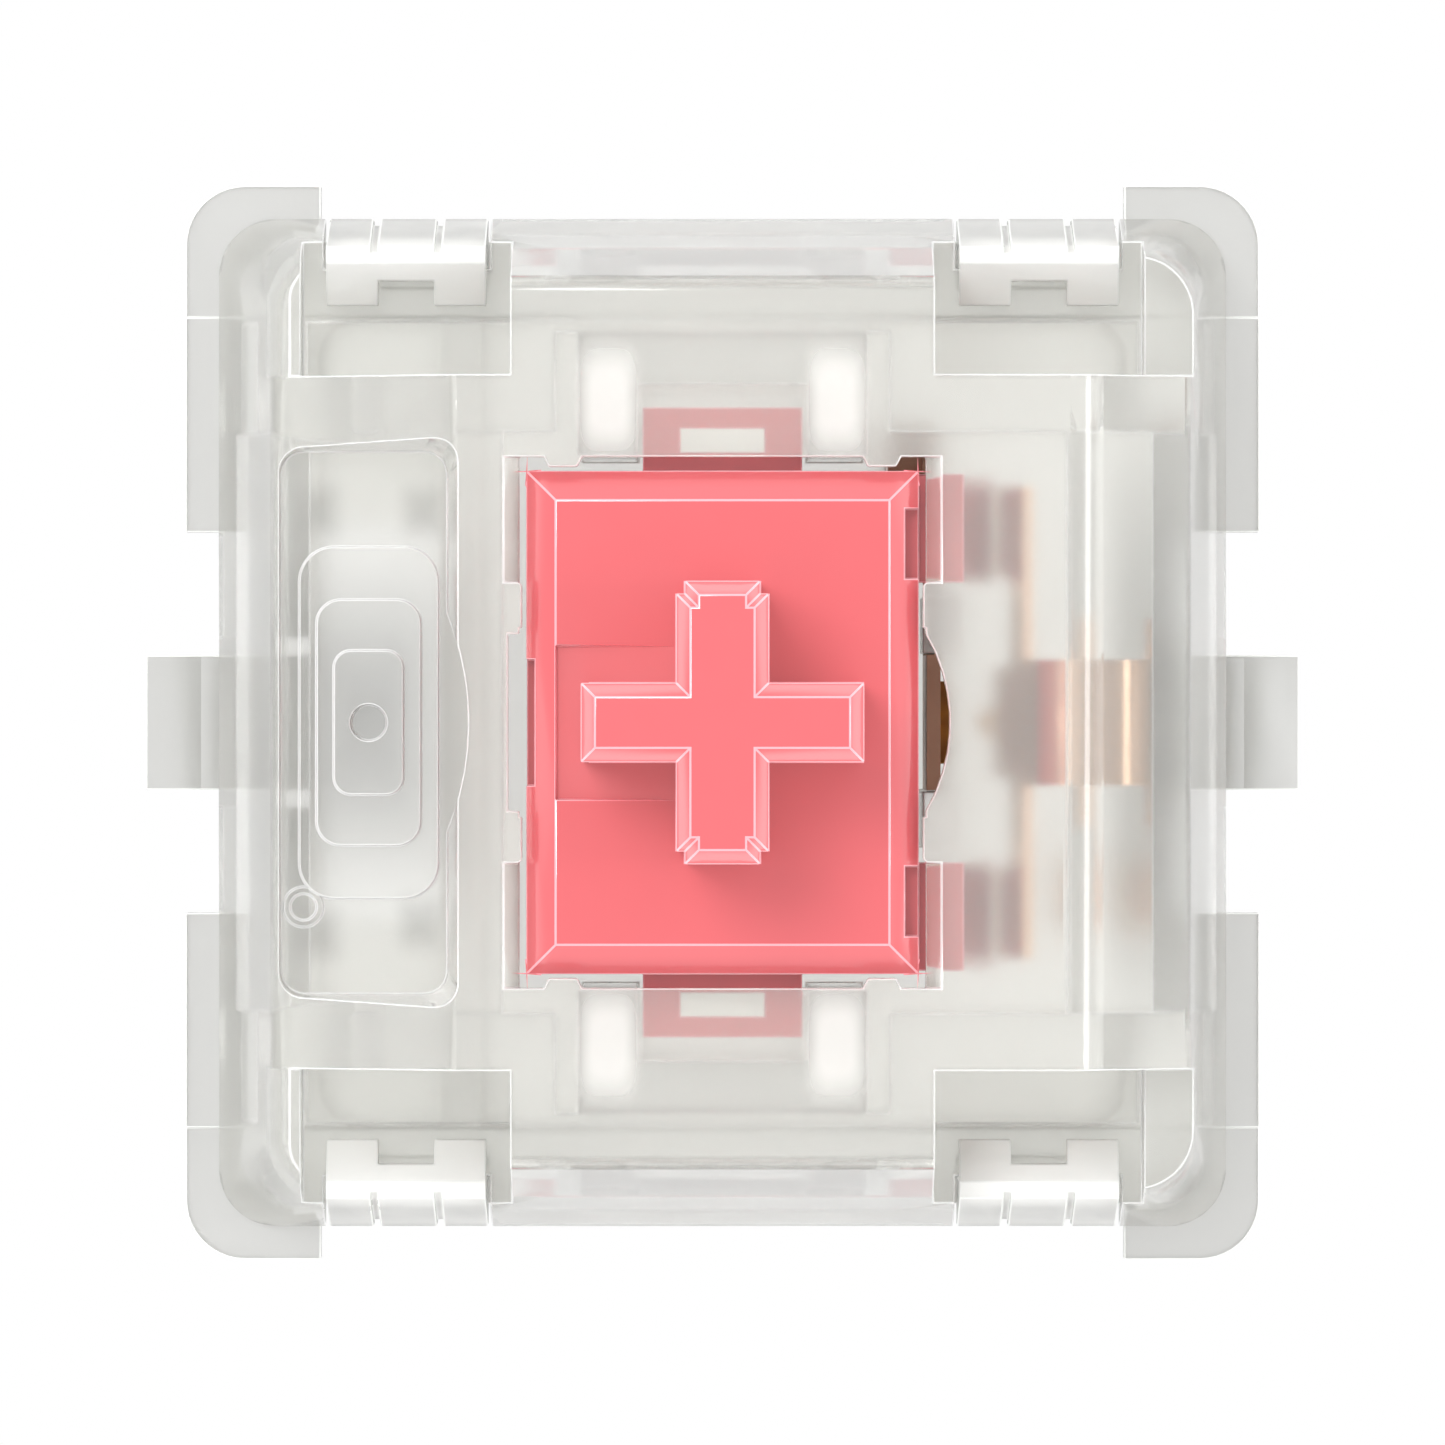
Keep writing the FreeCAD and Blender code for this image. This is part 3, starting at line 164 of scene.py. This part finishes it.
def soft_spots(tree, spots):
    """A value of 1 that falls at soft, squarish spots.

    Each spot has its centre and its reach on each axis, in mm, the part of the reach that has its full
    strength, and the share that is lost there.
    """
    place = tree.nodes.new("ShaderNodeTexCoord")
    left = None
    for centre, reach, full, share in spots:
        away = tree.nodes.new("ShaderNodeVectorMath")
        away.operation = "SUBTRACT"
        away.inputs[1].default_value = [length * MM for length in centre]
        scaled = tree.nodes.new("ShaderNodeVectorMath")
        scaled.operation = "MULTIPLY"
        scaled.inputs[1].default_value = [1 / (length * MM) for length in reach]
        squared = tree.nodes.new("ShaderNodeVectorMath")
        squared.operation = "MULTIPLY"
        size = tree.nodes.new("ShaderNodeVectorMath")
        size.operation = "LENGTH"
        far = tree.nodes.new("ShaderNodeMath")
        far.operation = "SQRT"
        fade = tree.nodes.new("ShaderNodeMapRange")
        fade.interpolation_type = "SMOOTHSTEP"
        fade.inputs["From Min"].default_value = full
        fade.inputs["To Min"].default_value = 1 - share
        fade.inputs["To Max"].default_value = 1.0
        tree.links.new(place.outputs["Object"], away.inputs[0])
        tree.links.new(away.outputs["Vector"], scaled.inputs[0])
        tree.links.new(scaled.outputs["Vector"], squared.inputs[0])
        tree.links.new(scaled.outputs["Vector"], squared.inputs[1])
        tree.links.new(squared.outputs["Vector"], size.inputs[0])
        tree.links.new(size.outputs["Value"], far.inputs[0])
        tree.links.new(far.outputs[0], fade.inputs["Value"])
        if left is None:
            left = fade.outputs["Result"]
        else:
            both = tree.nodes.new("ShaderNodeMath")
            both.operation = "MULTIPLY"
            tree.links.new(left, both.inputs[0])
            tree.links.new(fade.outputs["Result"], both.inputs[1])
            left = both.outputs[0]
    return left


def paint_shade(material, spots):
    """Painted shade: takes the spots' share of the base colour."""
    tree = material.node_tree
    shader = next(node for node in tree.nodes if node.type == "BSDF_PRINCIPLED")
    tint = tree.nodes.new("ShaderNodeVectorMath")
    tint.operation = "SCALE"
    tint.inputs[0].default_value = shader.inputs["Base Color"].default_value[:3]
    tree.links.new(soft_spots(tree, spots), tint.inputs["Scale"])
    tree.links.new(tint.outputs["Vector"], shader.inputs["Base Color"])


def paint_light(material, spots):
    """Painted light: takes the spots' share of the clearness, so that the plastic is whiter there."""
    tree = material.node_tree
    shader = next(node for node in tree.nodes if node.type == "BSDF_PRINCIPLED")
    clear = tree.nodes.new("ShaderNodeMath")
    clear.operation = "MULTIPLY"
    clear.inputs[1].default_value = shader.inputs["Transmission Weight"].default_value
    tree.links.new(soft_spots(tree, spots), clear.inputs[0])
    tree.links.new(clear.outputs[0], shader.inputs["Transmission Weight"])


def mirrored(place, *rest):
    """The same spot in all four corners."""
    x, y, z = place
    return [((x * side, y * end, z), *rest) for side in (-1, 1) for end in (-1, 1)]


def metal(name, colour, rough, scale):
    material, tree, shader = new_material(name)
    shader.inputs["Base Color"].default_value = colour
    shader.inputs["Metallic"].default_value = 1.0
    noise = add_noise(tree, scale, 3.0)
    vary_roughness(tree, shader, noise, rough * 0.8, rough * 1.2)
    add_bump(tree, shader, noise, 0.08)
    return material


CLEAR = plastic("clear_plastic", linear(254, 254, 250), 0.88, 0.2, coat=0.3)
# Painted shade: darker over the light recess and down the right side, and four dark spots in the recess that
# stand in for pin holes seen through it.
paint_shade(CLEAR, [
    ((-5.1, 0, 9.2), (2.0, 3.6, WIDE), 0.0, 0.45),
    ((6.0, 0, 10.6), (0.9, 6.0, WIDE), 0.2, 0.38),
    ((-5.85, 3.05, 9.2), (0.55, 0.6, WIDE), 0.0, 0.22),
    ((-4.3, 3.03, 9.2), (0.5, 0.6, WIDE), 0.0, 0.22),
    ((-5.83, -3.05, 9.2), (0.55, 0.6, WIDE), 0.0, 0.22),
    ((-4.35, -2.9, 9.2), (0.5, 0.6, WIDE), 0.0, 0.22),
])
# Painted light: whiter patches over the four rail guides.
paint_light(CLEAR, mirrored((1.63, 4.6, 11.6), (0.55, 1.0, WIDE), 0.35, 0.45))
# Painted highlight on rounded edges: a whiter, less clear copy of the clear plastic.
CLEAR_EDGE_HIGHLIGHT = plastic("clear_plastic_edge_highlight", linear(255, 255, 255), 0.5, 0.2, coat=1.0)
MILKY = plastic("milky_clear_plastic", linear(253, 253, 250), 0.8, 0.3, scale=1400.0, detail=2.0, bump=0.04)
# Painted shade: a darker band at flange height.
paint_shade(MILKY, [((0, 0, 5.5), (WIDE, WIDE, 1.0), 0.5, 0.25)])
# Painted light: whiter slopes on the four latch arms.
paint_light(MILKY, mirrored((4.55, 6.3, 8.9), (1.8, 0.75, 1.4), 0.6, 0.6))
# Painted highlight on rounded edges: a less clear copy of the milky plastic.
MILKY_EDGE_HIGHLIGHT = plastic("milky_clear_plastic_edge_highlight", linear(244, 245, 242), 0.2, 0.3)
PINK = plastic("stem_plastic", (0.68, 0.097, 0.112, 1.0), 0.0, 0.25, scale=2500.0, detail=2.0, bump=0.04,
               coat=1.0)
# Painted highlight on the stem's rounded edges: a paler copy of the stem plastic.
PINK_EDGE_HIGHLIGHT = plastic("stem_plastic_edge_highlight", linear(255, 168, 177), 0.0, 0.25, coat=1.0)
SOFT_WHITE = plastic("soft_white", linear(244, 244, 242), 0.0, 0.6, scale=3000.0, detail=2.0, bump=0.08)
COPPER = metal("contact_metal", linear(255, 216, 188), 0.2, 1800.0)
# Painted reflection: a darker band along the bend of the contact leaf.
paint_shade(COPPER, [((5.15, 0, 9.9), (0.3, WIDE, WIDE), 0.0, 0.45)])
# The fixed contact's metal, darkened with painted shade.
SHADED_COPPER = metal("fixed_contact_shaded_metal", linear(150, 116, 98), 0.35, 1800.0)
# Contact-point plating: its own colour, darkened with painted shade.
SHADED_GOLD = metal("gold", linear(200, 158, 100), 0.35, 2500.0)
STEEL = metal("spring_wire", linear(205, 203, 198), 0.18, 3000.0)


# Carried-over pieces

def mesh_group(name):
    group = bpy.data.node_groups.new(name, "GeometryNodeTree")
    group.interface.new_socket("Geometry", in_out="INPUT", socket_type="NodeSocketGeometry")
    group.interface.new_socket("Geometry", in_out="OUTPUT", socket_type="NodeSocketGeometry")
    return group


def chain(group, *steps):
    steps = [group.nodes.new("NodeGroupInput"), *steps, group.nodes.new("NodeGroupOutput")]
    for first, second in zip(steps, steps[1:]):
        group.links.new(first.outputs[0], second.inputs[0])


def weld_group():
    """Joins the shell's split vertices."""
    group = mesh_group("weld")
    merge = group.nodes.new("GeometryNodeMergeByDistance")
    merge.inputs["Distance"].default_value = WELD_REACH
    bare = group.nodes.new("GeometryNodeRemoveAttribute")
    bare.inputs["Name"].default_value = "custom_normal"
    chain(group, merge, bare)
    return group


def shade_group():
    """Flat shading on level, upright and large faces, smooth on the rest, with a crease at each sharp edge."""
    group = mesh_group("shade")
    new = group.nodes.new
    smooth, flat, crease = (new("GeometryNodeSetShadeSmooth") for _ in range(3))
    for step in (flat, crease):
        step.inputs["Shade Smooth"].default_value = False
    crease.domain = "EDGE"
    normal, size = new("GeometryNodeInputNormal"), new("ShaderNodeVectorMath")
    size.operation = "ABSOLUTE"
    parts = new("ShaderNodeSeparateXYZ")
    group.links.new(normal.outputs[0], size.inputs[0])
    group.links.new(size.outputs["Vector"], parts.inputs[0])
    tests = []
    for value in parts.outputs:
        along = new("FunctionNodeCompare")
        along.inputs[1].default_value = LEVEL
        group.links.new(value, along.inputs[0])
        tests.append(along.outputs[0])
    large = new("FunctionNodeCompare")
    large.inputs[1].default_value = LARGE_FACE
    group.links.new(new("GeometryNodeInputMeshFaceArea").outputs[0], large.inputs[0])
    tests.append(large.outputs[0])
    chosen = tests[0]
    for test in tests[1:]:
        either = new("FunctionNodeBooleanMath")
        either.operation = "OR"
        group.links.new(chosen, either.inputs[0])
        group.links.new(test, either.inputs[1])
        chosen = either.outputs[0]
    group.links.new(chosen, flat.inputs["Selection"])
    angle, sharp = new("GeometryNodeInputMeshEdgeAngle"), new("FunctionNodeCompare")
    sharp.inputs[1].default_value = CREASE_ANGLE
    group.links.new(angle.outputs["Unsigned Angle"], sharp.inputs[0])
    group.links.new(sharp.outputs[0], crease.inputs["Selection"])
    chain(group, smooth, flat, crease)
    return group


WELD, SHADE = weld_group(), shade_group()


def dress(name, *materials):
    node = nodes[name]
    while len(node.data.materials) < len(materials):
        node.data.materials.append(None)
    for slot, material in zip(node.material_slots, materials):
        slot.material = material
    return node


def round_edges(node, width, gap=0.0):
    """A small round on every sharp edge, in the node's second material, which paints a highlight there."""
    node.modifiers.new("weld", "NODES").node_group = WELD
    if gap:
        shrink = node.modifiers.new("gap", "DISPLACE")
        shrink.strength = -gap
        shrink.mid_level = 0.0
    bevel = node.modifiers.new("edge", "BEVEL")
    bevel.width = width
    bevel.segments = EDGE_STEPS
    bevel.limit_method = "ANGLE"
    bevel.angle_limit = EDGE_ANGLE
    bevel.loop_slide = False
    bevel.use_clamp_overlap = False
    bevel.material = 1
    bevel.face_strength_mode = "FSTR_ALL"
    node.modifiers.new("shade", "NODES").node_group = SHADE
    even = node.modifiers.new("even", "WEIGHTED_NORMAL")
    even.keep_sharp = True
    even.use_face_influence = True


round_edges(dress("lower_housing", MILKY, MILKY_EDGE_HIGHLIGHT), EDGE_ROUND, SEAT_GAP)
round_edges(dress("upper_housing", CLEAR, CLEAR_EDGE_HIGHLIGHT), EDGE_ROUND)
round_edges(dress("stem", PINK, PINK_EDGE_HIGHLIGHT), EDGE_ROUND * STEM_ROUND_SHARE)
for name in ("front_damper", "rear_damper"):
    dress(name, SOFT_WHITE)
for name in ("leaf_terminal", "contact_leaf"):
    dress(name, COPPER)
dress("fixed_contact", SHADED_COPPER)
for name in ("fixed_contact_point", "moving_contact_point"):
    dress(name, SHADED_GOLD)


# Return spring

def make_spring():
    """A coil of round wire with flat end turns."""
    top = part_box("return_spring")[1][2] - WIRE_RADIUS
    low = SEAT_Z + WIRE_RADIUS
    steps = int(SPRING_TURNS * STEPS_PER_TURN)

    def height(turn):
        lead = WIRE_RADIUS * 2.1
        if turn < 1:
            return low + lead * turn
        if turn > SPRING_TURNS - 1:
            return top - lead * (SPRING_TURNS - turn)
        share = (turn - 1) / (SPRING_TURNS - 2)
        return low + lead + (top - low - 2 * lead) * share

    verts, faces = [], []
    for step in range(steps + 1):
        turn = step / STEPS_PER_TURN
        around = 2 * math.pi * turn
        out = Vector((math.cos(around), math.sin(around), 0))
        centre = out * SPRING_RADIUS + Vector((0, 0, height(turn)))
        for side in range(WIRE_SIDES):
            tilt = 2 * math.pi * side / WIRE_SIDES
            verts.append(centre + (out * math.cos(tilt) + Vector((0, 0, math.sin(tilt)))) * WIRE_RADIUS)
    for step in range(steps):
        for side in range(WIRE_SIDES):
            after = (side + 1) % WIRE_SIDES
            faces.append((step * WIRE_SIDES + side, step * WIRE_SIDES + after,
                          (step + 1) * WIRE_SIDES + after, (step + 1) * WIRE_SIDES + side))
    faces.append(tuple(range(WIRE_SIDES)))
    faces.append(tuple(reversed(range(steps * WIRE_SIDES, (steps + 1) * WIRE_SIDES))))
    mesh = bpy.data.meshes.new("return_spring_coil")
    mesh.from_pydata(verts, [], faces)
    mesh.shade_smooth()
    coil = bpy.data.objects.new("return_spring_coil", mesh)
    bpy.context.scene.collection.objects.link(coil)
    mesh.materials.append(STEEL)
    return coil


spring = make_spring()
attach(spring, "housing")
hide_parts("return_spring")
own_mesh(spring)


# Stage

def build_floor():
    """A floor that camera, glossy and transmission rays see as plain white."""
    mesh = bpy.data.meshes.new("floor")
    far, low = FLOOR_REACH, cad_box[0][2]
    mesh.from_pydata([(-far, -far, low), (far, -far, low), (far, far, low), (-far, far, low)],
                     [], [(0, 1, 2, 3)])
    floor = bpy.data.objects.new("floor", mesh)
    bpy.context.scene.collection.objects.link(floor)
    material = bpy.data.materials.new("floor")
    material.use_nodes = True
    tree = material.node_tree
    tree.nodes.clear()
    output = tree.nodes.new("ShaderNodeOutputMaterial")
    mix = tree.nodes.new("ShaderNodeMixShader")
    glow = tree.nodes.new("ShaderNodeEmission")
    matte = tree.nodes.new("ShaderNodeBsdfDiffuse")
    matte.inputs["Color"].default_value = (FLOOR_GREY, FLOOR_GREY, FLOOR_GREY, 1)
    rays = tree.nodes.new("ShaderNodeLightPath")
    seen = tree.nodes.new("ShaderNodeMath")
    seen.operation = "MAXIMUM"
    through = tree.nodes.new("ShaderNodeMath")
    through.operation = "MAXIMUM"
    tree.links.new(rays.outputs["Is Camera Ray"], seen.inputs[0])
    tree.links.new(rays.outputs["Is Glossy Ray"], seen.inputs[1])
    tree.links.new(seen.outputs[0], through.inputs[0])
    tree.links.new(rays.outputs["Is Transmission Ray"], through.inputs[1])
    tree.links.new(through.outputs[0], mix.inputs[0])
    tree.links.new(matte.outputs[0], mix.inputs[1])
    tree.links.new(glow.outputs[0], mix.inputs[2])
    tree.links.new(mix.outputs[0], output.inputs["Surface"])
    floor.data.materials.append(material)


def build_world():
    """An even white sky, brighter towards the horizon."""
    world = bpy.data.worlds.new("studio")
    bpy.context.scene.world = world
    world.use_nodes = True
    tree = world.node_tree
    place = tree.nodes.new("ShaderNodeTexCoord")
    split = tree.nodes.new("ShaderNodeSeparateXYZ")
    spread = tree.nodes.new("ShaderNodeMapRange")
    spread.interpolation_type = "SMOOTHSTEP"
    spread.inputs["From Min"].default_value = HORIZON_LOW
    spread.inputs["From Max"].default_value = HORIZON_HIGH
    spread.inputs["To Min"].default_value = HORIZON_STRENGTH
    spread.inputs["To Max"].default_value = SKY_STRENGTH
    tree.links.new(place.outputs["Generated"], split.inputs["Vector"])
    tree.links.new(split.outputs["Z"], spread.inputs["Value"])
    tree.links.new(spread.outputs["Result"], tree.nodes["Background"].inputs["Strength"])
    tree.nodes["Background"].inputs["Color"].default_value = (1, 1, 1, 1)


def area_light(name, place, target, width, power):
    data = bpy.data.lights.new(name, "AREA")
    data.shape = "SQUARE"
    data.size = width
    data.energy = power
    light = bpy.data.objects.new(name, data)
    light.location = place
    light.rotation_euler = (Vector(target) - Vector(place)).to_track_quat("-Z", "Y").to_euler()
    bpy.context.scene.collection.objects.link(light)


def build_camera():
    data = bpy.data.cameras.new("camera")
    data.sensor_width = SENSOR
    data.lens = SENSOR * CAMERA_RISE / (PHOTO_PX / PX_PER_MM * MM)
    data.clip_start = 0.01
    data.clip_end = 10
    camera = bpy.data.objects.new("camera", data)
    camera.location = (0, 0, CAMERA_RISE + FLANGE_Z)
    bpy.context.scene.collection.objects.link(camera)
    bpy.context.scene.camera = camera


build_floor()
build_world()
build_camera()
area_light("key", (-0.08, 0.08, 0.28), (0, 0, 0.008), 0.1, 0.35)
area_light("side", (0.24, 0, 0.19), (0, 0, 0.01), 0.06, 0.1)
bpy.context.scene.view_settings.view_transform = "Standard"
